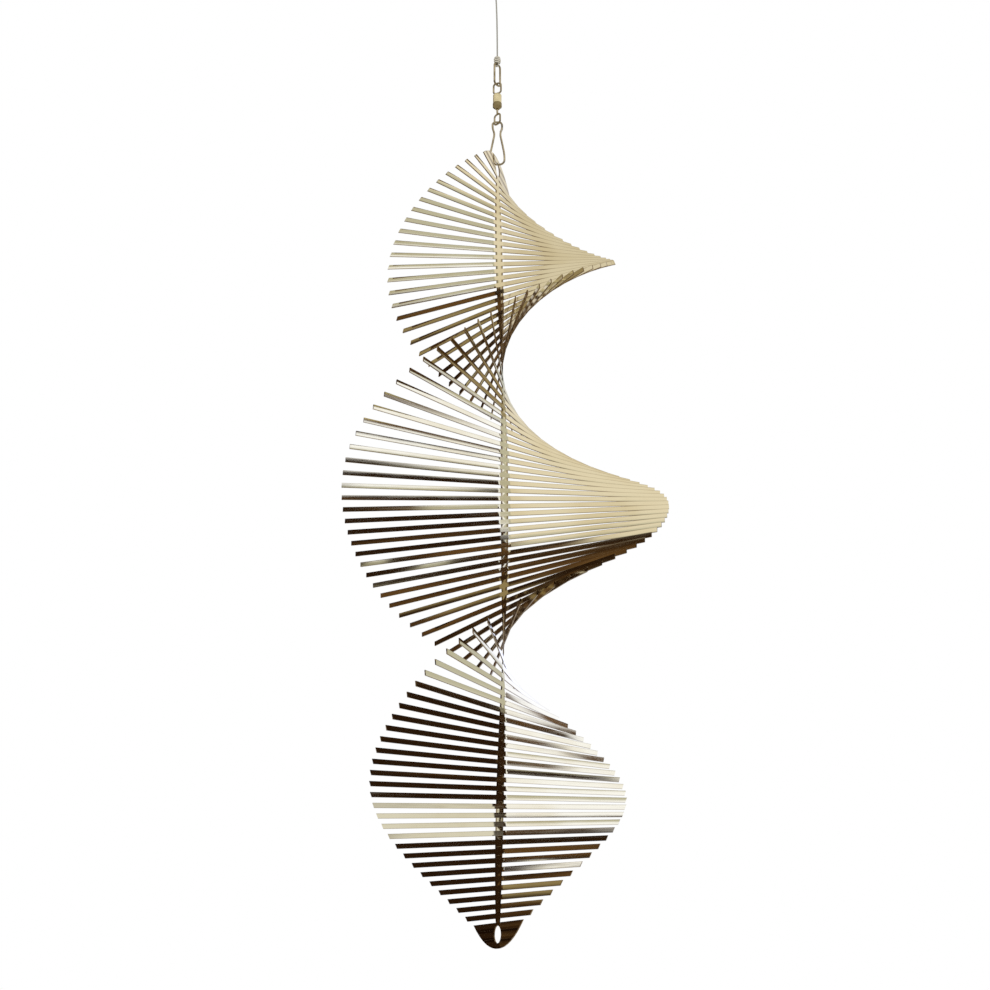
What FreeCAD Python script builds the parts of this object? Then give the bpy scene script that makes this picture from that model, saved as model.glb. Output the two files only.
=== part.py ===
import FreeCAD, Part
import math
import os

# Hanging wind spinner: an oval steel sheet cut into slats and twisted into a helix, on a snap hook,
# a ball-bearing swivel, an oval ring and a cord. Millimetres, +Z up. The origin is the inside top of
# the hanging loop, where a hook carries the spinner. X lies along the middle of the twisted sheet.

# Twisted sheet
sheet_length = 450.0
sheet_width = 178.5
sheet_thickness = 0.6
slat_height = 2.6
slot_height = 1.9
spine_width = 4.0
spine_bow = 3.9               # how far the middle of the spine hangs out to +X
turn_per_slat = 4.85          # degrees from one slat to the next at the middle of the sheet
end_turn = 20.1               # degrees that each half gains on an even twist by its last slat
settled_turn = 12.9           # degrees that both ends lie ahead of the middle, as the hand left them
wave_turn = 2.8               # degrees by which the hand-made twist wanders each way
wave_slats = 21.8             # slats from one wander to the next
wave_start = 33.0             # degrees into a wander at the middle
tab_hole_radius = 4.25
tab_hole_margin = 2.6         # metal between the hole and the end of the sheet
tab_hole_web = 0.9            # metal between the hole and the last slot, at least

# Snap hook
hook_wire_radius = 0.6
hook_height = 30.4
hook_bow_width = 9.7
hook_waist_gap = 2.1
hook_shoulder_width = 6.9
hook_bow_share = 0.24         # heights on the hook, as shares of its height between wire centres
hook_waist_share = 0.72
hook_shoulder_share = 0.86
hook_latch_share = 0.80
hook_latch_lean = 1.0         # how far the latch's tip leans in from the shoulder

# Ball-bearing swivel
pin_radius = 0.6
eye_wire_radius = 0.55
eye_width = 5.9
lower_eye_height = 7.8
upper_eye_height = 8.2
link_flat = 1.4               # straight wire at the top and bottom of the eyes and the ring
neck_length = 3.2
barrel_radius = 2.55
barrel_height = 6.5
barrel_wall = 0.5
barrel_top_wall = 0.9
barrel_lip = 0.3              # step between the barrel's side and its crown
crown_width = 0.8             # flat of the crown round the pin
cap_radius = 2.75
cap_height = 2.8
cap_cone_height = 1.2
cap_foot_width = 0.7
cap_edge = 0.3
cap_spigot_height = 1.0
ball_radius = 0.45
ball_count = 7
ball_seat_share = 0.8         # height of the balls' centres over the spigot, in ball radii
washer_thickness = 0.3
head_thickness = 0.7
upper_head_radius = 1.4
head_side_gap = 0.35          # between the lower head and the bore

# Oval ring, cord and knots
ring_wire_radius = 0.6
ring_height = 16.1
ring_width = 6.4
cord_radius = 0.45
cord_drop = 46.0              # straight cord between the two knots
knot_radius = 2.2
knot_height = 6.0
knot_edge = 0.8
loop_width = 10.4
loop_height = 21.0
loop_crown_width = 4.8        # flat of the loop's top
loop_crown_drop = 4.2         # from the loop's top to its widest part
loop_side_length = 6.0        # straight sides of the loop at its widest part
loop_end_offset = 0.9         # between the cord's two strands inside the upper knot

# Fits
link_clearance = 0.10         # between two wires that hang in each other
running_clearance = 0.05      # between a pin and its hole, and between bearing faces
ball_clearance = 0.02

# Directions about the vertical axis, in degrees from X
ring_direction = 58.0
upper_eye_direction = -14.0
lower_eye_direction = -38.0
hook_direction = 8.0

UP = FreeCAD.Vector(0, 0, 1)
ORIGIN = FreeCAD.Vector(0, 0, 0)


def vec(x, y, z):
    return FreeCAD.Vector(x, y, z)


def turned(shape, degrees):
    """The shape turned about the vertical axis through the origin."""
    result = shape.copy()
    result.rotate(ORIGIN, UP, degrees)
    return result


def lifted(shape, height):
    """The shape moved up by a height."""
    result = shape.copy()
    result.translate(vec(0, 0, height))
    return result


def fused(solids):
    """One solid from touching solids, without the seams between them."""
    return solids[0].multiFuse(solids[1:]).removeSplitter()


def rod(radius, bottom, top):
    return Part.makeCylinder(radius, top - bottom, vec(0, 0, bottom))


def bend_radius(before, corner, after):
    """Largest arc that fits a corner of a route: 0.45 of its shorter run each side."""
    run_in = corner - before
    run_out = after - corner
    half_turn = run_in.getAngle(run_out) / 2
    return 0.45 * min(run_in.Length, run_out.Length) / math.tan(half_turn)


def bend_radii(points):
    """The radius of each inner corner of a route."""
    return [bend_radius(*corner) for corner in zip(points, points[1:], points[2:])]


def route_wire(points, radii):
    """Straight runs through the points, joined by tangent arcs of the given radii."""
    edges = []
    start = points[0]
    for before, corner, after, radius in zip(points, points[1:], points[2:], radii):
        way_in = (corner - before).normalize()
        way_out = (after - corner).normalize()
        half_turn = way_in.getAngle(way_out) / 2
        cut = radius * math.tan(half_turn)
        arc_start = corner - way_in * cut
        arc_end = corner + way_out * cut
        inward = (way_out - way_in).normalize()
        arc_middle = corner + inward * (radius / math.cos(half_turn) - radius)
        edges.append(Part.LineSegment(start, arc_start).toShape())
        edges.append(Part.Arc(arc_start, arc_middle, arc_end).toShape())
        start = arc_end
    edges.append(Part.LineSegment(start, points[-1]).toShape())
    return Part.Wire(edges)


def tube(path, radius):
    """A round tube along a wire."""
    first = path.Edges[0]
    begin = first.valueAt(first.FirstParameter)
    tangent = first.tangentAt(first.FirstParameter)
    ring = Part.Wire(Part.makeCircle(radius, begin, tangent))
    return path.makePipeShell([ring], True, False)


def oval_link(bottom, top, width, wire_radius):
    """A closed oval of wire in the XZ plane between two outer heights."""
    side = width / 2 - wire_radius
    low = bottom + wire_radius
    high = top - wire_radius
    middle = vec(side, 0, (low + high) / 2)
    corners = [vec(side, 0, high), vec(-side, 0, high), vec(-side, 0, low), vec(side, 0, low)]
    radii = [side - link_flat / 2] * len(corners)
    return tube(route_wire([middle] + corners + [middle], radii), wire_radius)


# Heights of the hanging chain, from the loop downwards
loop_knot_top = -loop_height
loop_knot_middle = loop_knot_top - knot_height / 2
loop_knot_bottom = loop_knot_top - knot_height
ring_knot_top = loop_knot_bottom - cord_drop
ring_knot_bottom = ring_knot_top - knot_height
ring_wire_top = ring_knot_bottom - link_clearance - ring_wire_radius
ring_top = ring_wire_top + ring_wire_radius
ring_bottom = ring_top - ring_height
ring_wire_bottom = ring_bottom + ring_wire_radius
upper_eye_top = ring_wire_bottom + ring_wire_radius + link_clearance + 2 * eye_wire_radius
upper_eye_bottom = upper_eye_top - upper_eye_height
barrel_top = upper_eye_bottom - running_clearance
barrel_bottom = barrel_top - barrel_height
cap_bottom = barrel_bottom - cap_height - cap_cone_height
lower_eye_top = cap_bottom - neck_length
lower_eye_bottom = lower_eye_top - lower_eye_height
hook_wire_top = lower_eye_bottom + 2 * eye_wire_radius + link_clearance + hook_wire_radius
hook_top = hook_wire_top + hook_wire_radius
hook_bottom = hook_top - hook_height
hook_wire_bottom = hook_bottom + hook_wire_radius
sheet_top = hook_wire_bottom + hook_wire_radius + link_clearance + tab_hole_margin
sheet_middle = sheet_top - sheet_length / 2
sheet_bottom = sheet_top - sheet_length

# Slats of the sheet: as many as fit between the two tabs, an equal number above and below a middle slot
slat_pitch = slat_height + slot_height
tab_height = tab_hole_margin + 2 * tab_hole_radius + tab_hole_web
half_count = int((sheet_length / 2 - tab_height - slot_height / 2) / slat_pitch)
last_number = half_count - 0.5
field_half = last_number * slat_pitch + slat_height / 2


def slat_turn(number):
    """Turn of a slat in degrees, by its number counted up and down from 0 at the middle slot."""
    share = number / last_number
    even_turn = turn_per_slat * number + end_turn * share ** 3 + settled_turn * share ** 2
    return even_turn - wave_turn * math.sin(math.radians(360 * number / wave_slats + wave_start))


def bowed(shape, height):
    """The shape moved out to X with the spine's bow at a height."""
    share = height / (sheet_length / 2)
    result = shape.copy()
    result.translate(vec(spine_bow * (1 - share ** 2) ** 2, 0, 0))
    return result


def flat_blank():
    """The oval sheet before it is slotted and twisted, centred on the origin in the XZ plane."""
    outline = Part.Ellipse(ORIGIN, sheet_length / 2, sheet_width / 2)
    face = Part.Face(Part.Wire(outline.toShape()))
    blank = face.extrude(vec(0, 0, sheet_thickness))
    blank.translate(vec(0, 0, -sheet_thickness / 2))
    blank.rotate(ORIGIN, vec(0, 0, 1), 90)
    blank.rotate(ORIGIN, vec(1, 0, 0), 90)
    return blank


def band(blank, bottom, top):
    """The strip of the blank between two heights."""
    keep = Part.makeBox(sheet_width * 2, sheet_thickness * 2, top - bottom,
                        vec(-sheet_width, -sheet_thickness, bottom))
    return blank.common(keep)


def spine_section(height, turn):
    """The spine's rectangle at a height, turned with the slat that it meets."""
    half = spine_width / 2
    deep = sheet_thickness / 2
    corners = [vec(-half, -deep, height), vec(half, -deep, height),
               vec(half, deep, height), vec(-half, deep, height)]
    wire = Part.makePolygon(corners + corners[:1])
    return bowed(turned(wire, turn), height)


def tab(blank, low, high, turn, hole_height):
    """A solid end of the sheet with its round hole."""
    plate = band(blank, low, high)
    hole = Part.makeCylinder(tab_hole_radius, sheet_thickness * 4,
                             vec(0, -sheet_thickness * 2, hole_height), vec(0, 1, 0))
    return turned(plate.cut(hole), turn)


def spinner_sheet():
    """The twisted sheet: slats, the spine between them and a holed tab at each end, in one piece."""
    blank = flat_blank()
    numbers = [index - last_number for index in range(2 * half_count)]
    solids = []
    for number in numbers:
        height = number * slat_pitch
        slat = band(blank, height - slat_height / 2, height + slat_height / 2)
        solids.append(bowed(turned(slat, slat_turn(number)), height))

    # The tabs take one more step of the twist
    tab_edge = field_half + slot_height
    hole_height = sheet_length / 2 - tab_hole_margin - tab_hole_radius
    low_turn = slat_turn(-last_number - 1)
    high_turn = slat_turn(last_number + 1)
    solids.append(tab(blank, -sheet_length, -tab_edge, low_turn, -hole_height))
    solids.append(tab(blank, tab_edge, sheet_length, high_turn, hole_height))

    for number in [-last_number - 1] + numbers:
        slot_bottom = number * slat_pitch + slat_height / 2
        lower = spine_section(slot_bottom, slat_turn(number))
        upper = spine_section(slot_bottom + slot_height, slat_turn(number + 1))
        solids.append(Part.makeLoft([lower, upper], True, True))
    sheet = solids[0].multiFuse(solids[1:])
    return lifted(sheet, sheet_middle)


def snap_hook():
    """A pear of spring wire: a wide bow below, a waist, and a small loop above with a latch."""
    bow = hook_bow_width / 2 - hook_wire_radius
    waist = hook_waist_gap / 2 + hook_wire_radius
    shoulder = hook_shoulder_width / 2 - hook_wire_radius
    latch_depth = 2 * (hook_wire_radius + link_clearance)
    top = hook_height - 2 * hook_wire_radius
    # From the latch's tip behind the right shoulder, over the top, down the left side, round the bow
    # and up the right side to the shoulder
    points = [
        vec(shoulder - hook_latch_lean, latch_depth, top * hook_latch_share),
        vec(shoulder, latch_depth, top * hook_shoulder_share),
        vec(shoulder, 0, top),
        vec(-shoulder, 0, top),
        vec(-shoulder, 0, top * hook_shoulder_share),
        vec(-waist, 0, top * hook_waist_share),
        vec(-bow, 0, top * hook_bow_share),
        vec(-bow, 0, 0),
        vec(bow, 0, 0),
        vec(bow, 0, top * hook_bow_share),
        vec(waist, 0, top * hook_waist_share),
        vec(shoulder, 0, top * hook_shoulder_share),
    ]
    radii = bend_radii(points)
    print("snap hook bends", [round(radius, 2) for radius in radii])
    wire = tube(route_wire(points, radii), hook_wire_radius)
    return lifted(turned(wire, hook_direction), hook_wire_bottom)


def eye_pin(eye, eye_direction, stem_bottom, stem_top, head_radius, head_at_top):
    """An eye with a stem, and a head on the stem's end inside the barrel."""
    stem = rod(pin_radius, stem_bottom, stem_top)
    if head_at_top:
        head = rod(head_radius, stem_top - head_thickness, stem_top)
    else:
        head = rod(head_radius, stem_bottom, stem_bottom + head_thickness)
    return fused([turned(eye, eye_direction), stem, head])


# Heights inside the barrel
ball_centre = barrel_bottom + cap_spigot_height + ball_radius * ball_seat_share
washer_bottom = ball_centre + ball_radius + running_clearance
lower_head_bottom = washer_bottom + washer_thickness
lower_head_top = lower_head_bottom + head_thickness
upper_head_top = barrel_top - barrel_top_wall - running_clearance
upper_head_bottom = upper_head_top - head_thickness
bore_radius = barrel_radius - barrel_wall
stem_hole_radius = pin_radius + running_clearance
ball_circle_radius = (bore_radius + stem_hole_radius) / 2
lower_head_radius = bore_radius - head_side_gap


def lower_eye_pin():
    eye = oval_link(lower_eye_bottom, lower_eye_top, eye_width, eye_wire_radius)
    stem_start = lower_eye_top - eye_wire_radius
    return eye_pin(eye, lower_eye_direction, stem_start, lower_head_top, lower_head_radius, True)


def upper_eye_pin():
    eye = oval_link(upper_eye_bottom, upper_eye_top, eye_width, eye_wire_radius)
    stem_end = upper_eye_bottom + eye_wire_radius
    return eye_pin(eye, upper_eye_direction, upper_head_bottom, stem_end, upper_head_radius, False)


def revolved(profile):
    """A turned part from its half profile of (radius, height) corners."""
    corners = [vec(radius, 0, height) for radius, height in profile]
    face = Part.Face(Part.makePolygon(corners + corners[:1]))
    return face.revolve(ORIGIN, UP, 360)


def swivel_barrel():
    """The turned barrel, open below for its cap, with a crown that holds the upper pin."""
    crown_bottom = barrel_top - barrel_top_wall
    return revolved([
        (stem_hole_radius, barrel_top),
        (pin_radius + crown_width, barrel_top),
        (barrel_radius - barrel_lip, crown_bottom + barrel_lip),
        (barrel_radius, crown_bottom),
        (barrel_radius, barrel_bottom),
        (bore_radius, barrel_bottom),
        (bore_radius, crown_bottom),
        (stem_hole_radius, crown_bottom),
    ])


def swivel_cap():
    """The cap pressed into the barrel, with a collar, a coned foot and the groove for the balls."""
    spigot_top = barrel_bottom + cap_spigot_height
    collar_bottom = cap_bottom + cap_cone_height
    body = revolved([
        (stem_hole_radius, cap_bottom),
        (pin_radius + cap_foot_width, cap_bottom),
        (cap_radius - cap_edge, collar_bottom),
        (cap_radius, collar_bottom + cap_edge),
        (cap_radius, barrel_bottom - cap_edge),
        (cap_radius - cap_edge, barrel_bottom),
        (bore_radius, barrel_bottom),
        (bore_radius, spigot_top),
        (stem_hole_radius, spigot_top),
    ])
    groove = Part.makeTorus(ball_circle_radius, ball_radius + ball_clearance, vec(0, 0, ball_centre), UP)
    return body.cut(groove)


def bearing_balls():
    """The ring of loose balls, as one group of solids."""
    balls = []
    for index in range(ball_count):
        ball = Part.makeSphere(ball_radius, vec(ball_circle_radius, 0, ball_centre))
        balls.append(turned(ball, 360.0 * index / ball_count))
    return Part.makeCompound(balls)


def thrust_washer():
    ring = rod(lower_head_radius, washer_bottom, lower_head_bottom)
    return ring.cut(rod(pin_radius, washer_bottom, lower_head_bottom))


def oval_ring():
    link = oval_link(ring_bottom, ring_top, ring_width, ring_wire_radius)
    return turned(link, ring_direction)


def knot(bottom):
    """A knot of wrapped cord, as a plain round body with bevelled ends."""
    top = bottom + knot_height
    return revolved([
        (0, bottom),
        (knot_radius - knot_edge, bottom),
        (knot_radius, bottom + knot_edge),
        (knot_radius, top - knot_edge),
        (knot_radius - knot_edge, top),
        (0, top),
    ])


def ring_knot():
    """The lower knot with the small cord loop that goes round the oval ring's top."""
    bend = ring_wire_radius + link_clearance + cord_radius
    loop = Part.makeTorus(bend, cord_radius, vec(0, 0, ring_wire_top), vec(1, 0, 0))
    return knot(ring_knot_bottom).fuse(turned(loop, ring_direction))


def loop_knot():
    return knot(loop_knot_bottom)


def cord_route():
    """Points of the cord: up from the lower knot, through the upper knot and round the loop."""
    side = loop_width / 2 - cord_radius
    crown = loop_crown_width / 2
    shoulder_height = cord_radius - loop_crown_drop
    side_bottom = shoulder_height - loop_side_length
    return [
        vec(0, 0, ring_knot_top),
        vec(0, 0, loop_knot_middle),
        vec(-side, 0, side_bottom),
        vec(-side, 0, shoulder_height),
        vec(-crown, 0, cord_radius),
        vec(crown, 0, cord_radius),
        vec(side, 0, shoulder_height),
        vec(side, 0, side_bottom),
        vec(loop_end_offset, 0, loop_knot_middle),
    ]


def hanging_cord():
    points = cord_route()
    radii = bend_radii(points)
    path = route_wire(points, radii)
    cord = tube(path, cord_radius)
    print("cord bends", [round(radius, 2) for radius in radii])
    print("cord length", round(path.Length, 2), "section times length",
          round(math.pi * cord_radius ** 2 * path.Length, 3), "volume", round(cord.Volume, 3))
    return cord


def main():
    os.makedirs("parts", exist_ok=True)
    makers = {
        "spinner_sheet": spinner_sheet,
        "snap_hook": snap_hook,
        "lower_eye_pin": lower_eye_pin,
        "thrust_washer": thrust_washer,
        "bearing_balls": bearing_balls,
        "swivel_cap": swivel_cap,
        "swivel_barrel": swivel_barrel,
        "upper_eye_pin": upper_eye_pin,
        "oval_ring": oval_ring,
        "ring_knot": ring_knot,
        "loop_knot": loop_knot,
        "hanging_cord": hanging_cord,
    }
    for name, make in makers.items():
        shape = make()
        shape.exportStep("parts/" + name + ".step")
        print(name, "valid", shape.isValid(), "solids", len(shape.Solids), "volume", round(shape.Volume, 2))


main()
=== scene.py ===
import bpy
import math
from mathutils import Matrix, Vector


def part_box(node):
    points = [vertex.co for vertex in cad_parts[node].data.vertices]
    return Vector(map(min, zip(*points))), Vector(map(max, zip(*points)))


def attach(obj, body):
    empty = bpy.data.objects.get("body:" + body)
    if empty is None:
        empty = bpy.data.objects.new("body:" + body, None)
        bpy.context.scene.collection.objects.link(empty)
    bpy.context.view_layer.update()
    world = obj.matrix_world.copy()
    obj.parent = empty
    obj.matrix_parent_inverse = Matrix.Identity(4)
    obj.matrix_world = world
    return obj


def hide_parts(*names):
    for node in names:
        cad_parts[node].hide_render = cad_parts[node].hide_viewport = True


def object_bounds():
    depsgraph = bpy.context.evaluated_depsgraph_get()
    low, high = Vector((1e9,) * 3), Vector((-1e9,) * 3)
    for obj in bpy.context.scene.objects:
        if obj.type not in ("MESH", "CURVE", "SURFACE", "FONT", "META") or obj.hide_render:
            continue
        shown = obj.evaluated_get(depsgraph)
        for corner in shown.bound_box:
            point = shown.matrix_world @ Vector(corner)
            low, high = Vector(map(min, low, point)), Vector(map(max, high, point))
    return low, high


bl_info = {
    "name": "Twisted Wind Spinner",
    "version": (1, 0, 0),
    "blender": (4, 5, 0),
    "location": "3D View > Sidebar > Spinner",
    "description": "Finishes and knots for a hanging gold wind spinner on a ball-bearing swivel",
    "category": "Object",
}

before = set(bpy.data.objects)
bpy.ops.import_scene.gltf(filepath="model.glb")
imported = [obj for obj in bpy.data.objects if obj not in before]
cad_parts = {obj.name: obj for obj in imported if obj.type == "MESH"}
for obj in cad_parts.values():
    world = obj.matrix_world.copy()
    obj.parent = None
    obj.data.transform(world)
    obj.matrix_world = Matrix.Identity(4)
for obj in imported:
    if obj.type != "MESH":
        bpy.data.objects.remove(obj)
CAD_BOX = [list(corner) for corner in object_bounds()]

SHEET_LOW, SHEET_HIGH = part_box("spinner_sheet")
SHEET_MIDDLE = (SHEET_LOW[2] + SHEET_HIGH[2]) / 2
RING_KNOT_LOW, RING_KNOT_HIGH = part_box("ring_knot")
LOOP_KNOT_LOW, LOOP_KNOT_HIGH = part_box("loop_knot")
RING_LOW, RING_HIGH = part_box("oval_ring")

SILVER_PARTS = ("thrust_washer", "bearing_balls")
GOLD_PARTS = ("snap_hook", "lower_eye_pin", "upper_eye_pin", "oval_ring")

# Finishes: how fine the marks are, per metre, how deep, in metres, how far they are drawn out
# level, and the cord's lay in radians of twist per metre
SHEET_GRAIN = 400.0
WIRE_GRAIN = 3000.0
FUZZ_GRAIN = 6000.0
WIPE_DEPTH = 0.000002
WIPE_STRETCH = (0.15, 0.15, 3.0)
SHEET_ROUGHNESS = (0.05, 0.10)
ROUGHNESS_SPREAD = 0.1
LAY_DEPTH = 0.00008
LAY_TWIST = 5200.0

# Distances from the middle of the spine, in metres, between which the slats' own bends begin and
# the painted shade on the bridges between slats begins
SPINE_EDGE = (0.002, 0.004)
BRIDGE_EDGE = (0.0009, 0.0014)

# Heights from the sheet's middle, in metres, between which the lower spine's creases begin
CREASE_HEIGHTS = (0.0, -0.03)

# Shares of half a slat's height between which the painted shade beside its edge and on its bridge
# begin, the strength of the bridge's painted shade, and how far a face has to look up, down or
# outwards to count as a cut one
EDGE_SHADE_SHARES = (0.72, 0.98)
BRIDGE_SHARES = (0.98, 1.05)
BRIDGE_SHADE = 0.8
CUT_FACING = (0.5, 0.8)

# Steps that give a slat's curl and bend other random values than its tilt
CURL_SEED = 200.0
BEND_SEED = 400.0

# Knots: radius of the lower knot's eye round the ring's wire, in metres, the share by which a knot
# narrows to its ends, the height of its first turn and the thickness of its outer turns as shares
# of the cord's, the inner turns' radius as a share of the outer's, and the turns' tilts in degrees
KNOT_EYE_RADIUS = 0.00115
KNOT_TAPER = 0.16
FIRST_TURN = 1.15
OUTER_TURN = 1.1
INNER_RADIUS = 0.5
TURN_TILTS = (5, 7)

# Stage, in metres
FLOOR_SIZE = 80.0
LAMP_SIZE = 1.6
KEY_PLACE = (-1.1, -1.2, 0.7)
FILL_PLACE = (1.3, -0.6, 0.2)

# The studio that the metal mirrors, in degrees. Its walls by height: where each colour starts
# and is full. Its cards: direction from the camera's turn, half width, bottom, top, softness.
GLOW_HEIGHTS = (5, 8)
WINDOW_HEIGHTS = ((10.5, 12), (17, 18.5))
CEILING_HEIGHTS = ((23.5, 25.5), (29, 33))
FLOOR_HEIGHTS = (-10.5, -8.5)
STREAK_HEIGHTS = (1, 5)
DARK_CARDS = (
    (157.5, 62.5, -90, 29, 1.5),
    (-65, 91, -90, 10, 1.5),
    (-101.4, 40.6, 8, 13.5, 1.0),
    (-131, 13, 8, 17, 1.0),
)
CARD_GAPS = (
    (-103, 22, -12, 0.8, 1.5),
    (-81, 3, 8, 14, 0.8),
    (-100, 3, 6, 13, 0.8),
    (-149.4, 1, 6, 12, 0.5),
    (-159.4, 1.3, 11, 16, 0.6),
)
STREAK_CARDS = (
    (42, 3, 12, 17, 0.8),
    (23, 5, 12.5, 17, 0.8),
    (2, 3, 13, 17, 0.8),
    (-26, 4, 15, 18.5, 0.8),
    (-37, 4, 14.5, 18.5, 0.8),
)
BRONZE_CARDS = (
    (172, 12, 9.5, 18, 1.5),
    (183, 23, 17, 20.5, 1.0),
    (46, 17, 18, 23, 1.0),
    (122, 50, 31, 60, 1.5),
)


# Sizes and colours that a user may change

class SheetLook(bpy.types.PropertyGroup):
    colour: bpy.props.FloatVectorProperty(
        name="Gold", description="Colour of the polished sheet", subtype="COLOR",
        default=(0.82, 0.735, 0.50), min=0, max=1)
    deep_colour: bpy.props.FloatVectorProperty(
        name="Deep gold", description="Colour of the sheet where fingers have marked it",
        subtype="COLOR", default=(0.74, 0.64, 0.40), min=0, max=1)
    # Painted shade: the cut edges, a band beside them and the bridges between slats get this dark brown
    edge_shade_colour: bpy.props.FloatVectorProperty(
        name="Cut edge", description="Colour of the cut edges and the tint beside them",
        subtype="COLOR", default=(0.20, 0.13, 0.06), min=0, max=1)
    # Strength of the painted shade in the band beside the cut edges
    edge_shade_strength: bpy.props.FloatProperty(
        name="Edge tint", description="Strength of the tint beside the cut edges",
        subtype="FACTOR", default=0.55, min=0, max=1)
    slat_height: bpy.props.FloatProperty(
        name="Slat height", description="Height of one slat", unit="LENGTH", default=0.0026)
    slat_pitch: bpy.props.FloatProperty(
        name="Slat pitch", description="Height from one slat to the next", unit="LENGTH",
        default=0.0045)
    last_slat: bpy.props.FloatProperty(
        name="Last slat", description="Number of the outermost slat, counted from the middle",
        default=46.5)
    slat_turn: bpy.props.FloatProperty(
        name="Turn per slat", description="Turn from one slat to the next at the middle",
        subtype="ANGLE", default=math.radians(4.85))
    end_turn: bpy.props.FloatProperty(
        name="End turn", description="Extra turn that each half has gained at its end",
        subtype="ANGLE", default=math.radians(20.1))
    settled_turn: bpy.props.FloatProperty(
        name="Settled turn", description="Turn by which both ends lie ahead of the middle",
        subtype="ANGLE", default=math.radians(12.9))
    wave_turn: bpy.props.FloatProperty(
        name="Wave turn", description="Turn by which the hand-made twist wanders each way",
        subtype="ANGLE", default=math.radians(2.8))
    wave_slats: bpy.props.FloatProperty(
        name="Wave slats", description="Slats from one wander of the twist to the next", default=21.8)
    wave_start: bpy.props.FloatProperty(
        name="Wave start", description="How far into a wander the middle of the sheet is",
        subtype="ANGLE", default=math.radians(33))
    spine_bow: bpy.props.FloatProperty(
        name="Spine bow", description="How far the middle of the spine hangs out to X",
        unit="LENGTH", default=0.0039)
    slat_lean: bpy.props.FloatProperty(
        name="Slat lean", description="Slope by which the twist leans the two halves of a slat",
        default=0.08)
    slat_tilt: bpy.props.FloatProperty(
        name="Slat tilt", description="How unevenly the slats lean, as a slope", default=0.03)
    slat_curl: bpy.props.FloatProperty(
        name="Slat curl", description="How unevenly the slats bend along their length, as a slope",
        default=0.03)
    slat_bend: bpy.props.FloatProperty(
        name="Slat bend", description="How unevenly the slats bow along their length, per metre",
        default=0.8)
    slat_crown: bpy.props.FloatProperty(
        name="Slat crown", description="Slope at a slat's long edges from its rolled face",
        default=0.02)
    spine_lean: bpy.props.FloatProperty(
        name="Spine lean", description="Slope of the lower spine's creases", default=0.04)


class HardwareLook(bpy.types.PropertyGroup):
    wire_colour: bpy.props.FloatVectorProperty(
        name="Wire gold", description="Colour of the hook, eyes and ring", subtype="COLOR",
        default=(0.50, 0.43, 0.29), min=0, max=1)
    swivel_colour: bpy.props.FloatVectorProperty(
        name="Swivel gold", description="Colour of the swivel's barrel", subtype="COLOR",
        default=(0.86, 0.76, 0.47), min=0, max=1)
    cap_colour: bpy.props.FloatVectorProperty(
        name="Swivel cap", description="Colour of the darker cap under the barrel", subtype="COLOR",
        default=(0.30, 0.24, 0.12), min=0, max=1)
    tarnish_colour: bpy.props.FloatVectorProperty(
        name="Tarnish", description="Colour in the hardware's worn places", subtype="COLOR",
        default=(0.22, 0.17, 0.08), min=0, max=1)
    steel_colour: bpy.props.FloatVectorProperty(
        name="Steel", description="Colour of the balls and the washer", subtype="COLOR",
        default=(0.62, 0.61, 0.58), min=0, max=1)


class CordLook(bpy.types.PropertyGroup):
    diameter: bpy.props.FloatProperty(
        name="Cord diameter", description="Thickness of the cord", unit="LENGTH", default=0.0009)
    length: bpy.props.FloatProperty(
        name="Cord length", description="Length of the cord with its loop", unit="LENGTH",
        default=0.106)
    colour: bpy.props.FloatVectorProperty(
        name="Cord", description="Colour of the cord where it hangs straight", subtype="COLOR",
        default=(0.44, 0.43, 0.38), min=0, max=1)
    knot_colour: bpy.props.FloatVectorProperty(
        name="Knots", description="Colour of the waxed knots", subtype="COLOR",
        default=(0.80, 0.74, 0.60), min=0, max=1)
    # Painted shade: the lay between the cord's strands is painted this darker colour
    shadow_colour: bpy.props.FloatVectorProperty(
        name="Cord lay", description="Colour between the cord's strands", subtype="COLOR",
        default=(0.24, 0.22, 0.17), min=0, max=1)
    wrap_count: bpy.props.IntProperty(
        name="Wraps", description="Turns of cord in the loop's knot", default=6)
    short_wrap_count: bpy.props.IntProperty(
        name="Short wraps", description="Turns of cord in the ring's knot", default=4)
    wrap_pitch: bpy.props.FloatProperty(
        name="Wrap pitch", description="Height from one turn of a knot to the next", unit="LENGTH",
        default=0.00099)
    wrap_radius: bpy.props.FloatProperty(
        name="Wrap radius", description="From a knot's middle to the middle of its outer turns",
        unit="LENGTH", default=0.00168)


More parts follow.
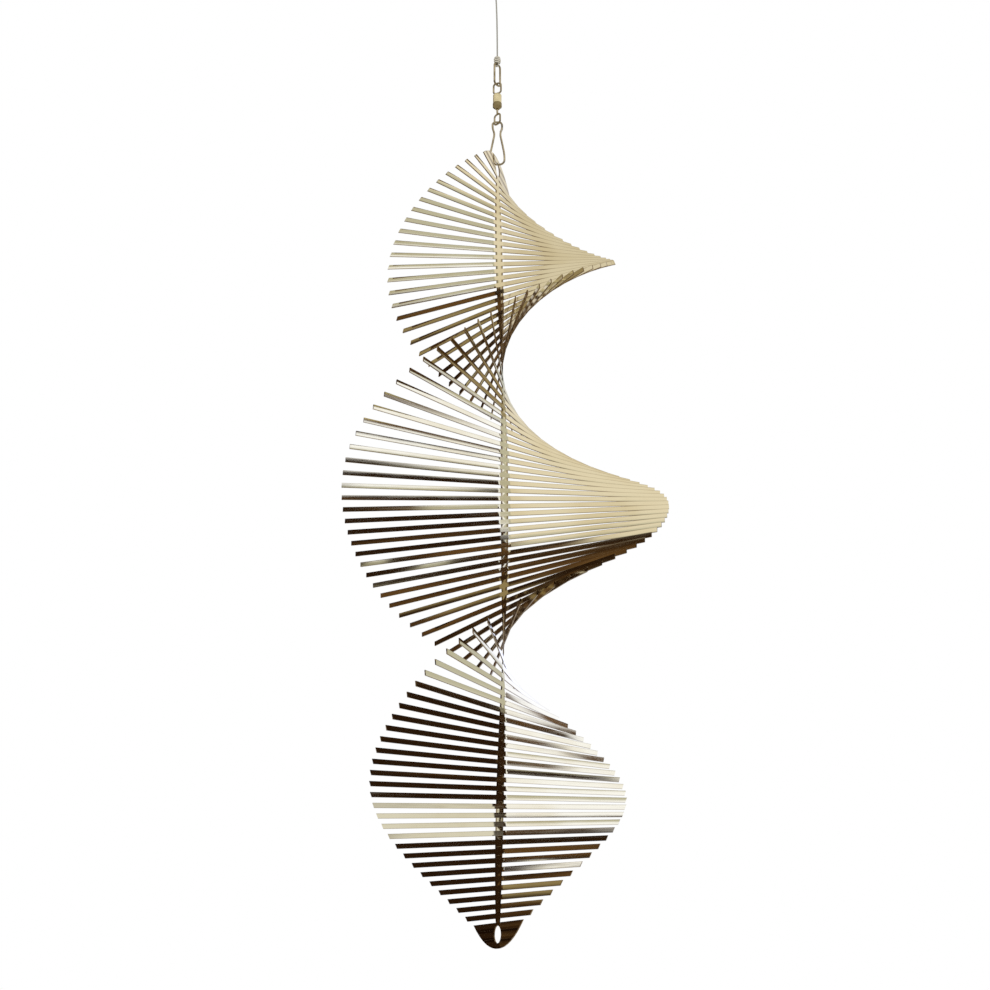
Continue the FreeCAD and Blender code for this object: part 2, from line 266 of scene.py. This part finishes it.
class StudioLook(bpy.types.PropertyGroup):
    camera_distance: bpy.props.FloatProperty(
        name="Camera distance", description="Level distance from the spine to the camera",
        unit="LENGTH", default=0.7699)
    camera_drop: bpy.props.FloatProperty(
        name="Camera drop", description="Height of the sheet's middle above the camera",
        unit="LENGTH", default=0.2548)
    camera_turn: bpy.props.FloatProperty(
        name="Camera turn", description="Turn of the camera about the spine", subtype="ANGLE",
        default=math.radians(8.5))
    camera_tilt: bpy.props.FloatProperty(
        name="Camera tilt", description="How far the camera looks up", subtype="ANGLE",
        default=math.radians(19.21))
    camera_side: bpy.props.FloatProperty(
        name="Camera side", description="Step of the camera to its left", unit="LENGTH",
        default=0.0014)
    lens: bpy.props.FloatProperty(
        name="Lens", description="Focal length in millimetres", default=54.0)
    floor_gap: bpy.props.FloatProperty(
        name="Floor gap", description="Height of the spinner over the floor", unit="LENGTH",
        default=0.35)
    lamp_power: bpy.props.FloatProperty(
        name="Lamp power", description="Power of the soft key lamp in watts", default=9.0)
    ceiling_colour: bpy.props.FloatVectorProperty(
        name="Ceiling", description="Colour of the studio ceiling in the metal", subtype="COLOR",
        default=(0.91, 0.88, 0.85), min=0, max=1)
    top_colour: bpy.props.FloatVectorProperty(
        name="Ceiling middle", description="Colour overhead in the metal", subtype="COLOR",
        default=(0.80, 0.77, 0.73), min=0, max=1)
    wall_colour: bpy.props.FloatVectorProperty(
        name="Wall", description="Colour of the studio's dull walls in the metal", subtype="COLOR",
        default=(0.60, 0.62, 0.60), min=0, max=1)
    window_colour: bpy.props.FloatVectorProperty(
        name="Window", description="Colour of the long bright window in the metal", subtype="COLOR",
        default=(1.16, 1.26, 1.65), min=0, max=2)
    glow_colour: bpy.props.FloatVectorProperty(
        name="Floor glow", description="Colour of the light gap over the floor in the metal",
        subtype="COLOR", default=(0.83, 0.86, 0.94), min=0, max=1)
    floor_colour: bpy.props.FloatVectorProperty(
        name="Floor", description="Colour of the studio floor in the metal", subtype="COLOR",
        default=(0.74, 0.70, 0.64), min=0, max=1)
    wood_colour: bpy.props.FloatVectorProperty(
        name="Brown streaks", description="Colour of the streaks in the dark cards and the floor",
        subtype="COLOR", default=(0.14, 0.075, 0.03), min=0, max=1)
    bronze_colour: bpy.props.FloatVectorProperty(
        name="Bronze card", description="Colour of the cards behind, beside and overhead in the metal",
        subtype="COLOR", default=(0.33, 0.27, 0.16), min=0, max=1)
    card_colour: bpy.props.FloatVectorProperty(
        name="Dark card", description="Colour of the dark cards in the metal", subtype="COLOR",
        default=(0.024, 0.011, 0.005), min=0, max=1)


# Shader helpers

# A Mix node's colour sockets, which share their names with its other kinds
COLOUR_A, COLOUR_B, COLOUR_RESULT = 6, 7, 2


def new_material(name):
    material = bpy.data.materials.new(name)
    material.use_nodes = True
    return material, material.node_tree, material.node_tree.nodes["Principled BSDF"]


def feed(tree, value, socket):
    """Links a node's output to a socket, or sets a plain value on it."""
    if isinstance(value, bpy.types.NodeSocket):
        tree.links.new(value, socket)
    else:
        socket.default_value = value


def maths(tree, operation, *values):
    node = tree.nodes.new("ShaderNodeMath")
    node.operation = operation
    for value, socket in zip(values, node.inputs):
        feed(tree, value, socket)
    return node.outputs[0]


def ramp(tree, value, low, high, out_low=0.0, out_high=1.0):
    """A smooth step of a value from one level to another."""
    node = tree.nodes.new("ShaderNodeMapRange")
    node.interpolation_type = "SMOOTHSTEP"
    feed(tree, value, node.inputs["Value"])
    node.inputs["From Min"].default_value = low
    node.inputs["From Max"].default_value = high
    node.inputs["To Min"].default_value = out_low
    node.inputs["To Max"].default_value = out_high
    return node.outputs["Result"]


def degree_ramp(tree, angle, low, high, out_low=0.0, out_high=1.0):
    """A smooth step of an angle between two levels in degrees."""
    return ramp(tree, angle, math.radians(low), math.radians(high), out_low, out_high)


def colour_mix(tree, factor, first, second):
    node = tree.nodes.new("ShaderNodeMix")
    node.data_type = "RGBA"
    feed(tree, factor, node.inputs["Factor"])
    for value, socket in ((first, node.inputs[COLOUR_A]), (second, node.inputs[COLOUR_B])):
        feed(tree, value if isinstance(value, bpy.types.NodeSocket) else (*value, 1), socket)
    return node.outputs[COLOUR_RESULT]


def noise(tree, vector, scale, detail):
    node = tree.nodes.new("ShaderNodeTexNoise")
    feed(tree, vector, node.inputs["Vector"])
    node.inputs["Scale"].default_value = scale
    node.inputs["Detail"].default_value = detail
    return node.outputs["Fac"]


def random_by(tree, number):
    """A random value from -0.5 to 0.5 for each whole number."""
    node = tree.nodes.new("ShaderNodeTexWhiteNoise")
    node.noise_dimensions = "1D"
    feed(tree, number, node.inputs["W"])
    return maths(tree, "SUBTRACT", node.outputs["Value"], 0.5)


def object_position(tree):
    return tree.nodes.new("ShaderNodeTexCoord").outputs["Object"]


def object_facing(tree):
    return tree.nodes.new("ShaderNodeTexCoord").outputs["Normal"]


def new_group(name, inputs, outputs):
    """A shader node group with named float or vector sockets, and its input and output nodes."""
    tree = bpy.data.node_groups.new(name, "ShaderNodeTree")
    for socket_name, kind in inputs:
        tree.interface.new_socket(socket_name, in_out="INPUT", socket_type=kind)
    for socket_name, kind in outputs:
        tree.interface.new_socket(socket_name, in_out="OUTPUT", socket_type=kind)
    return tree, tree.nodes.new("NodeGroupInput"), tree.nodes.new("NodeGroupOutput")


def place_group(tree, group, **values):
    node = tree.nodes.new("ShaderNodeGroup")
    node.node_tree = group
    for name, value in values.items():
        feed(tree, value, node.inputs[name.replace("_", " ")])
    return node


def slat_group():
    """Hand-twisted slats: the height of their lean, tilt, curl and crown, and a mask of the painted shade at
    their cut edges, beside them and on their bridges.
    """
    existing = bpy.data.node_groups.get("Hand-twisted slats")
    if existing:
        return existing
    look = bpy.context.scene.spinner_sheet
    floats = ("Lean", "Tilt", "Curl", "Bend", "Crown", "Spine lean")
    tree, given, result = new_group(
        "Hand-twisted slats",
        [("Position", "NodeSocketVector"), ("Facing", "NodeSocketVector")]
        + [(name, "NodeSocketFloat") for name in floats],
        [("Height", "NodeSocketFloat"), ("Edge", "NodeSocketFloat")])
    axes = tree.nodes.new("ShaderNodeSeparateXYZ")
    facing = tree.nodes.new("ShaderNodeSeparateXYZ")
    tree.links.new(given.outputs["Position"], axes.inputs[0])
    tree.links.new(given.outputs["Facing"], facing.inputs[0])

    # Number and turn of the slat
    level = maths(tree, "SUBTRACT", axes.outputs["Z"], SHEET_MIDDLE)
    slat = maths(tree, "ADD", maths(tree, "FLOOR", maths(tree, "DIVIDE", level, look.slat_pitch)), 0.5)
    share = maths(tree, "DIVIDE", slat, look.last_slat)
    square = maths(tree, "MULTIPLY", share, share)
    turn = maths(tree, "MULTIPLY", slat, look.slat_turn)
    turn = maths(tree, "MULTIPLY_ADD", maths(tree, "MULTIPLY", square, share), look.end_turn, turn)
    turn = maths(tree, "MULTIPLY_ADD", square, look.settled_turn, turn)
    wave = maths(tree, "MULTIPLY_ADD", slat, 2 * math.pi / look.wave_slats, look.wave_start)
    turn = maths(tree, "MULTIPLY_ADD", maths(tree, "SINE", wave), -look.wave_turn, turn)
    cosine = maths(tree, "COSINE", turn)
    sine = maths(tree, "SINE", turn)

    # Place along and across the slat from the bowed spine, and which half and face of it
    reach = maths(tree, "DIVIDE", level, (SHEET_HIGH[2] - SHEET_LOW[2]) / 2)
    fall = maths(tree, "SUBTRACT", 1.0, maths(tree, "MULTIPLY", reach, reach))
    bow = maths(tree, "MULTIPLY", maths(tree, "MULTIPLY", fall, fall), look.spine_bow)
    along = maths(tree, "MULTIPLY_ADD", maths(tree, "SUBTRACT", axes.outputs["X"], bow), cosine,
                  maths(tree, "MULTIPLY", axes.outputs["Y"], sine))
    lift = maths(tree, "SUBTRACT", level, maths(tree, "MULTIPLY", slat, look.slat_pitch))
    side = maths(tree, "SIGN", along)
    face = maths(tree, "SIGN", maths(tree, "SUBTRACT", maths(tree, "MULTIPLY", facing.outputs["Y"], cosine),
                                     maths(tree, "MULTIPLY", facing.outputs["X"], sine)))
    off_spine = ramp(tree, maths(tree, "ABSOLUTE", along), *SPINE_EDGE)

    # Heights, with random values of its own for each half of a slat
    own = maths(tree, "MULTIPLY_ADD", side, 0.25, slat)
    lean = maths(tree, "MULTIPLY", maths(tree, "MULTIPLY", side, face), given.outputs["Lean"])
    lean = maths(tree, "MULTIPLY_ADD", random_by(tree, own), given.outputs["Tilt"], lean)
    curl = maths(tree, "MULTIPLY", random_by(tree, maths(tree, "ADD", own, CURL_SEED)), given.outputs["Curl"])
    bend = maths(tree, "MULTIPLY", random_by(tree, maths(tree, "ADD", own, BEND_SEED)), given.outputs["Bend"])
    bend = maths(tree, "MULTIPLY", bend, maths(tree, "MULTIPLY", along, along))
    crown = maths(tree, "DIVIDE", given.outputs["Crown"], -look.slat_height)
    height = maths(tree, "MULTIPLY_ADD", lift, lean, maths(tree, "MULTIPLY_ADD", along, curl, bend))
    height = maths(tree, "MULTIPLY_ADD", maths(tree, "MULTIPLY", lift, lift), crown, height)
    height = maths(tree, "MULTIPLY", height, off_spine)
    low = maths(tree, "MULTIPLY", ramp(tree, level, *CREASE_HEIGHTS), given.outputs["Spine lean"])
    on_spine = maths(tree, "SUBTRACT", 1.0, off_spine)
    height = maths(tree, "MULTIPLY_ADD", maths(tree, "MULTIPLY", low, on_spine), lift, height)
    tree.links.new(height, result.inputs["Height"])

    # Painted shade at the edges: the cut faces, and a band beside them on the slats
    cut = ramp(tree, maths(tree, "ABSOLUTE", facing.outputs["Z"]), *CUT_FACING)
    tip = maths(tree, "MULTIPLY_ADD", facing.outputs["X"], cosine,
                maths(tree, "MULTIPLY", facing.outputs["Y"], sine))
    cut = maths(tree, "MAXIMUM", cut, ramp(tree, maths(tree, "ABSOLUTE", tip), *CUT_FACING))
    half = look.slat_height / 2
    tint_low, tint_high = (half * portion for portion in EDGE_SHADE_SHARES)
    beside = ramp(tree, maths(tree, "ABSOLUTE", lift), tint_low, tint_high, 0.0, look.edge_shade_strength)
    beside = maths(tree, "MULTIPLY", beside, off_spine)
    # Painted shade on the bridges between slats, darker towards their sides
    bridge_low, bridge_high = (half * portion for portion in BRIDGE_SHARES)
    bridge = ramp(tree, maths(tree, "ABSOLUTE", lift), bridge_low, bridge_high)
    bridge = maths(tree, "MULTIPLY", bridge, ramp(tree, maths(tree, "ABSOLUTE", along), *BRIDGE_EDGE))
    beside = maths(tree, "MAXIMUM", beside, maths(tree, "MULTIPLY", bridge, BRIDGE_SHADE))
    tree.links.new(maths(tree, "MAXIMUM", cut, beside), result.inputs["Edge"])
    return tree


def polish_group():
    """Fine wiping marks and finger smudges of polished metal, as two masks."""
    existing = bpy.data.node_groups.get("Wiped polish")
    if existing:
        return existing
    tree, given, result = new_group(
        "Wiped polish",
        [("Position", "NodeSocketVector"), ("Grain", "NodeSocketFloat")],
        [("Smudge", "NodeSocketFloat"), ("Lines", "NodeSocketFloat")])
    scaled = tree.nodes.new("ShaderNodeVectorMath")
    scaled.operation = "SCALE"
    tree.links.new(given.outputs["Position"], scaled.inputs[0])
    tree.links.new(given.outputs["Grain"], scaled.inputs["Scale"])
    stretched = tree.nodes.new("ShaderNodeMapping")
    stretched.inputs["Scale"].default_value = WIPE_STRETCH
    tree.links.new(scaled.outputs[0], stretched.inputs["Vector"])
    smudge = noise(tree, scaled.outputs[0], 0.06, 3.0)
    tree.links.new(ramp(tree, smudge, 0.42, 0.68), result.inputs["Smudge"])
    tree.links.new(noise(tree, stretched.outputs[0], 1.0, 2.0), result.inputs["Lines"])
    return tree


def bump(tree, height, distance, normal=None):
    node = tree.nodes.new("ShaderNodeBump")
    node.inputs["Distance"].default_value = distance
    tree.links.new(height, node.inputs["Height"])
    if normal:
        tree.links.new(normal, node.inputs["Normal"])
    return node.outputs["Normal"]


def sheet_material():
    look = bpy.context.scene.spinner_sheet
    material, tree, shader = new_material("polished gold sheet")
    shader.inputs["Metallic"].default_value = 1.0
    position = object_position(tree)
    marks = place_group(tree, polish_group(), Position=position, Grain=SHEET_GRAIN)
    slats = place_group(tree, slat_group(), Position=position, Facing=object_facing(tree),
                        Lean=look.slat_lean, Tilt=look.slat_tilt, Curl=look.slat_curl, Bend=look.slat_bend,
                        Crown=look.slat_crown, Spine_lean=look.spine_lean)
    colour = colour_mix(tree, marks.outputs["Smudge"], look.colour, look.deep_colour)
    # Painted shade: dark brown on the cut edges, beside them and on the bridges between slats
    colour = colour_mix(tree, slats.outputs["Edge"], colour, look.edge_shade_colour)
    tree.links.new(colour, shader.inputs["Base Color"])
    roughness = ramp(tree, marks.outputs["Lines"], 0.3, 0.7, *SHEET_ROUGHNESS)
    tree.links.new(roughness, shader.inputs["Roughness"])
    wiped = bump(tree, marks.outputs["Lines"], WIPE_DEPTH)
    tree.links.new(bump(tree, slats.outputs["Height"], 1.0, wiped), shader.inputs["Normal"])
    return material


def plated_material(name, colour, roughness, tarnish):
    """Plated wire or turned metal with tarnish in patches."""
    look = bpy.context.scene.spinner_hardware
    material, tree, shader = new_material(name)
    shader.inputs["Metallic"].default_value = 1.0
    marks = place_group(tree, polish_group(), Position=object_position(tree), Grain=WIRE_GRAIN)
    worn = maths(tree, "MULTIPLY", marks.outputs["Smudge"], tarnish)
    tree.links.new(colour_mix(tree, worn, colour, look.tarnish_colour), shader.inputs["Base Color"])
    spread = ramp(tree, marks.outputs["Lines"], 0.3, 0.7, roughness, roughness + ROUGHNESS_SPREAD)
    tree.links.new(spread, shader.inputs["Roughness"])
    tree.links.new(bump(tree, marks.outputs["Lines"], WIPE_DEPTH), shader.inputs["Normal"])
    return material


def cord_material(name, colour):
    """Thin twisted cord: strands with painted shade in the lay between them."""
    look = bpy.context.scene.spinner_cord
    material, tree, shader = new_material(name)
    axes = tree.nodes.new("ShaderNodeSeparateXYZ")
    position = object_position(tree)
    tree.links.new(position, axes.inputs[0])
    around = maths(tree, "ARCTAN2", axes.outputs["Y"], axes.outputs["X"])
    phase = maths(tree, "MULTIPLY_ADD", axes.outputs["Z"], LAY_TWIST, maths(tree, "MULTIPLY", around, 2.0))
    strand = ramp(tree, maths(tree, "SINE", phase), -0.9, 0.4)
    fuzz = noise(tree, position, FUZZ_GRAIN, 2.0)
    shade = maths(tree, "MULTIPLY", strand, ramp(tree, fuzz, 0.2, 0.7, 0.6, 1.0))
    # Painted shade in the lay between the strands, broken up by random fuzz
    tree.links.new(colour_mix(tree, shade, look.shadow_colour, colour), shader.inputs["Base Color"])
    shader.inputs["Roughness"].default_value = 0.55
    shader.inputs["Sheen Weight"].default_value = 0.2
    tree.links.new(bump(tree, strand, LAY_DEPTH), shader.inputs["Normal"])
    return material


def dress(node, material):
    """Gives a CAD node its material."""
    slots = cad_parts[node].data.materials
    slots.clear()
    slots.append(material)


# Modelling helpers

def clear_selection():
    if bpy.context.mode != "OBJECT":
        bpy.ops.object.mode_set(mode="OBJECT")
    bpy.ops.object.select_all(action="DESELECT")


def join_pieces(pieces, name):
    """One named piece at the origin from several, with its place in its mesh."""
    clear_selection()
    for piece in pieces:
        piece.select_set(True)
    bpy.context.view_layer.objects.active = pieces[0]
    bpy.ops.object.transform_apply(location=True, rotation=True, scale=True)
    bpy.ops.object.join()
    piece = bpy.context.view_layer.objects.active
    bpy.ops.object.shade_smooth()
    piece.name = name
    piece.data.name = name
    return piece


def wrap_ring(centre, radius, thickness, rotation):
    """One turn of cord."""
    clear_selection()
    bpy.ops.mesh.primitive_torus_add(
        location=centre, rotation=rotation, major_radius=radius, minor_radius=thickness,
        major_segments=40, minor_segments=14)
    return bpy.context.view_layer.objects.active


def wrapped_knot(low, count, name):
    """A knot of close turns of cord round its standing part, tightest at both ends."""
    look = bpy.context.scene.spinner_cord
    strand = look.diameter / 2
    pitch = look.wrap_pitch
    turns = []
    for index in range(count):
        share = index / (count - 1)
        swell = 1 - KNOT_TAPER * (2 * share - 1) ** 2
        centre = (0, 0, low + strand * FIRST_TURN + index * pitch)
        tilt = math.radians(TURN_TILTS[index % 2])
        turns.append(
            wrap_ring(centre, look.wrap_radius * swell, strand * OUTER_TURN, (tilt, tilt / 2, index)))
        inner = (0, 0, centre[2] + (pitch / 2 if index < count - 1 else 0))
        turns.append(wrap_ring(inner, look.wrap_radius * INNER_RADIUS, strand, (-tilt / 2, 0, index)))
    return join_pieces(turns, name)


# Operators

class FinishSheet(bpy.types.Operator):
    """Gives the twisted sheet its polished gold"""
    bl_idname = "spinner.finish_sheet"
    bl_label = "Finish Sheet"

    def execute(self, context):
        dress("spinner_sheet", sheet_material())
        return {"FINISHED"}


class FinishHardware(bpy.types.Operator):
    """Gives the hook, the swivel and the ring their plated metals"""
    bl_idname = "spinner.finish_hardware"
    bl_label = "Finish Hardware"

    def execute(self, context):
        look = context.scene.spinner_hardware
        wire = plated_material("plated wire", look.wire_colour, roughness=0.10, tarnish=0.7)
        turned = plated_material("turned brass", look.swivel_colour, roughness=0.16, tarnish=0.25)
        darkened = plated_material("darkened brass", look.cap_colour, roughness=0.16, tarnish=0.4)
        steel = plated_material("bearing steel", look.steel_colour, roughness=0.15, tarnish=0.0)
        dress("swivel_barrel", turned)
        dress("swivel_cap", darkened)
        for names, material in ((GOLD_PARTS, wire), (SILVER_PARTS, steel)):
            for name in names:
                dress(name, material)
        return {"FINISHED"}


class AddCord(bpy.types.Operator):
    """Adds the hanging cord: up from the ring's knot and round its loop"""
    bl_idname = "spinner.add_cord"
    bl_label = "Add Cord"

    def execute(self, context):
        look = context.scene.spinner_cord
        route = (
            (0.0, 0.0, -0.0748),
            (0.0, 0.0, -0.024),
            (-0.00475, 0.0, -0.00975),
            (-0.00475, 0.0, -0.00375),
            (-0.0024, 0.0, 0.00045),
            (0.0024, 0.0, 0.00045),
            (0.00475, 0.0, -0.00375),
            (0.00475, 0.0, -0.00975),
            (0.0009, 0.0, -0.024),
        )
        curve = bpy.data.curves.new("cord", "CURVE")
        curve.dimensions = "3D"
        spline = curve.splines.new("NURBS")
        spline.points.add(len(route) - 1)
        for point, place in zip(spline.points, route):
            point.co = (*place, 1)
        spline.order_u = 3
        spline.use_endpoint_u = True
        spline.resolution_u = 16
        curve.bevel_depth = look.diameter / 2
        curve.bevel_resolution = 5
        curve.use_fill_caps = True
        cord = bpy.data.objects.new("cord", curve)
        context.scene.collection.objects.link(cord)
        cord.data.materials.append(cord_material("twisted cord", look.colour))
        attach(cord, "cord")
        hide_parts("hanging_cord")
        return {"FINISHED"}


class AddKnots(bpy.types.Operator):
    """Adds the two wrapped knots, the lower with its eye round the ring"""
    bl_idname = "spinner.add_knots"
    bl_label = "Add Knots"

    def execute(self, context):
        look = context.scene.spinner_cord
        fibre = cord_material("waxed knots", look.knot_colour)
        strand = look.diameter / 2
        height = LOOP_KNOT_HIGH[2] - LOOP_KNOT_LOW[2]
        upper = wrapped_knot(LOOP_KNOT_LOW[2], look.wrap_count, "loop_knot_wraps")
        lower = wrapped_knot(RING_KNOT_HIGH[2] - height, look.short_wrap_count, "ring_knot_wraps")
        # The eye lies across the ring's top wire, which runs along the ring's plane
        direction = math.atan2(RING_HIGH[1] - RING_LOW[1], RING_HIGH[0] - RING_LOW[0])
        bend = (RING_KNOT_HIGH[2] - height - RING_KNOT_LOW[2]) / 2
        centre = (0, 0, RING_KNOT_LOW[2] + bend + strand / 2)
        eye = wrap_ring(centre, KNOT_EYE_RADIUS, strand, (0, math.pi / 2, direction))
        lower = join_pieces([lower, eye], "ring_knot_wraps")
        for piece, node in ((upper, "loop_knot"), (lower, "ring_knot")):
            piece.data.materials.clear()
            piece.data.materials.append(fibre)
            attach(piece, "cord")
            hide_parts(node)
        return {"FINISHED"}


class AddStage(bpy.types.Operator):
    """Adds the floor, the soft studio light and the camera"""
    bl_idname = "spinner.add_stage"
    bl_label = "Add Stage"

    def execute(self, context):
        look = context.scene.spinner_studio
        scene = context.scene
        scene.view_settings.view_transform = "Standard"
        floor_level = CAD_BOX[0][2] - look.floor_gap
        clear_selection()
        bpy.ops.mesh.primitive_plane_add(size=FLOOR_SIZE, location=(0, 0, floor_level))
        floor = context.view_layer.objects.active
        floor.name = "floor"
        floor.visible_glossy = False
        floor.data.materials.append(floor_material())
        scene.world = studio_world(look)
        add_lamp("key lamp", KEY_PLACE, look.lamp_power)
        add_lamp("fill lamp", FILL_PLACE, look.lamp_power / 2)
        add_camera(look)
        return {"FINISHED"}


def add_lamp(name, place, power):
    """A square soft lamp that points at the sheet's middle and doesn't show in the metal."""
    data = bpy.data.lights.new(name, "AREA")
    data.size = LAMP_SIZE
    data.energy = power
    lamp = bpy.data.objects.new(name, data)
    lamp.location = place
    aim = [t - p for t, p in zip((0, 0, SHEET_MIDDLE), place)]
    level = math.hypot(aim[0], aim[1])
    lamp.rotation_euler = (math.atan2(level, -aim[2]), 0, math.atan2(aim[1], aim[0]) - math.pi / 2)
    lamp.visible_glossy = False
    bpy.context.scene.collection.objects.link(lamp)


def add_camera(look):
    data = bpy.data.cameras.new("camera")
    data.lens = look.lens
    camera = bpy.data.objects.new("camera", data)
    right = (math.cos(look.camera_turn), math.sin(look.camera_turn))
    ahead = (-right[1], right[0])
    camera.location = (
        -ahead[0] * look.camera_distance - right[0] * look.camera_side,
        -ahead[1] * look.camera_distance - right[1] * look.camera_side,
        SHEET_MIDDLE - look.camera_drop)
    camera.rotation_euler = (math.pi / 2 + look.camera_tilt, 0, look.camera_turn)
    bpy.context.scene.collection.objects.link(camera)
    bpy.context.scene.camera = camera


def floor_material():
    """A plain pale floor; the metal shows the floor of the studio's surround instead."""
    material, _, shader = new_material("pale floor")
    shader.inputs["Base Color"].default_value = (0.85, 0.85, 0.85, 1)
    shader.inputs["Roughness"].default_value = 0.7
    return material


def card(tree, axes, direction, half_width, low, high, softness):
    """Mask of a card in the studio, between two heights and round a direction, all in degrees."""
    middle = math.radians(direction)
    level = maths(tree, "SQRT", maths(tree, "SUBTRACT", 1.0,
                                      maths(tree, "POWER", axes.outputs["Z"], 2.0)))
    towards = maths(tree, "MULTIPLY_ADD", axes.outputs["X"], math.cos(middle),
                    maths(tree, "MULTIPLY", axes.outputs["Y"], math.sin(middle)))
    off = maths(tree, "ARCCOSINE", maths(tree, "DIVIDE", towards, level))
    height = maths(tree, "ARCSINE", axes.outputs["Z"])
    across = degree_ramp(tree, off, half_width - softness, half_width + softness, 1.0, 0.0)
    under = degree_ramp(tree, height, high - softness, high + softness, 1.0, 0.0)
    over = degree_ramp(tree, height, low - softness, low + softness)
    return maths(tree, "MULTIPLY", across, maths(tree, "MULTIPLY", under, over))


def cards(tree, axes, turn, table):
    """Mask of all the cards in a table, whose directions count from a turn in degrees."""
    result = None
    for direction, *sizes in table:
        mask = card(tree, axes, turn + direction, *sizes)
        result = mask if result is None else maths(tree, "MAXIMUM", result, mask)
    return result


def studio_walls(tree, height, look):
    """Colour of the studio by height: glow over the floor, wall, window, wall, ceiling and its middle."""
    colour = look.glow_colour
    for (low, high), above in zip(
            (GLOW_HEIGHTS, *WINDOW_HEIGHTS, *CEILING_HEIGHTS),
            (look.wall_colour, look.window_colour, look.wall_colour, look.ceiling_colour, look.top_colour)):
        colour = colour_mix(tree, degree_ramp(tree, height, low, high), colour, above)
    return colour


def studio_world(look):
    """A white surround, and in the metal a studio with a window, dark and bronze cards and a pale floor."""
    world = bpy.data.worlds.new("studio")
    world.use_nodes = True
    tree = world.node_tree
    background = tree.nodes["Background"]
    axes = tree.nodes.new("ShaderNodeSeparateXYZ")
    place = tree.nodes.new("ShaderNodeTexCoord").outputs["Generated"]
    tree.links.new(place, axes.inputs[0])
    turn = math.degrees(look.camera_turn)
    height = maths(tree, "ARCSINE", axes.outputs["Z"])
    studio = studio_walls(tree, height, look)

    # Dark cards with brown streaks, and small gaps in them
    dark = cards(tree, axes, turn, DARK_CARDS)
    dark = maths(tree, "MULTIPLY", dark, maths(tree, "SUBTRACT", 1.0, cards(tree, axes, turn, CARD_GAPS)))
    dark = maths(tree, "MAXIMUM", dark, cards(tree, axes, turn, STREAK_CARDS))
    streaks = ramp(tree, noise(tree, place, 5.0, 3.0), 0.45, 0.7)
    streaks = maths(tree, "MULTIPLY", streaks, degree_ramp(tree, height, *STREAK_HEIGHTS))
    studio = colour_mix(tree, dark, studio, colour_mix(tree, streaks, look.card_colour, look.wood_colour))
    studio = colour_mix(tree, cards(tree, axes, turn, BRONZE_CARDS), studio, look.bronze_colour)

    # Pale floor with brown streaks
    planks = ramp(tree, noise(tree, place, 4.0, 3.0), 0.55, 0.68)
    floor = colour_mix(tree, planks, look.floor_colour, look.wood_colour)
    studio = colour_mix(tree, degree_ramp(tree, height, *FLOOR_HEIGHTS), floor, studio)

    path = tree.nodes.new("ShaderNodeLightPath")
    seen = colour_mix(tree, path.outputs["Is Glossy Ray"], (0.75, 0.75, 0.75), studio)
    tree.links.new(colour_mix(tree, path.outputs["Is Camera Ray"], seen, (1, 1, 1)),
                   background.inputs["Color"])
    return world


class SpinnerPanel(bpy.types.Panel):
    """Steps of the wind spinner, in order"""
    bl_idname = "SPINNER_PT_steps"
    bl_label = "Wind Spinner"
    bl_space_type = "VIEW_3D"
    bl_region_type = "UI"
    bl_category = "Spinner"

    def draw(self, context):
        for step in STEPS:
            self.layout.operator(step.bl_idname)
        for name in LOOKS:
            look = getattr(context.scene, name)
            box = self.layout.box()
            for key in look.bl_rna.properties.keys():
                if key not in ("rna_type", "name"):
                    box.prop(look, key)


STEPS = (AddCord, AddKnots, FinishSheet, FinishHardware, AddStage)
LOOKS = {
    "spinner_sheet": SheetLook,
    "spinner_hardware": HardwareLook,
    "spinner_cord": CordLook,
    "spinner_studio": StudioLook,
}


def register():
    for name, look in LOOKS.items():
        bpy.utils.register_class(look)
        setattr(bpy.types.Scene, name, bpy.props.PointerProperty(type=look))
    for entry in (*STEPS, SpinnerPanel):
        bpy.utils.register_class(entry)


def unregister():
    for entry in (SpinnerPanel, *reversed(STEPS)):
        bpy.utils.unregister_class(entry)
    for name, look in LOOKS.items():
        delattr(bpy.types.Scene, name)
        bpy.utils.unregister_class(look)


def main():
    register()
    bpy.ops.spinner.add_cord()
    bpy.ops.spinner.add_knots()
    bpy.ops.spinner.finish_sheet()
    bpy.ops.spinner.finish_hardware()
    bpy.ops.spinner.add_stage()


if __name__ == "__main__":
    main()
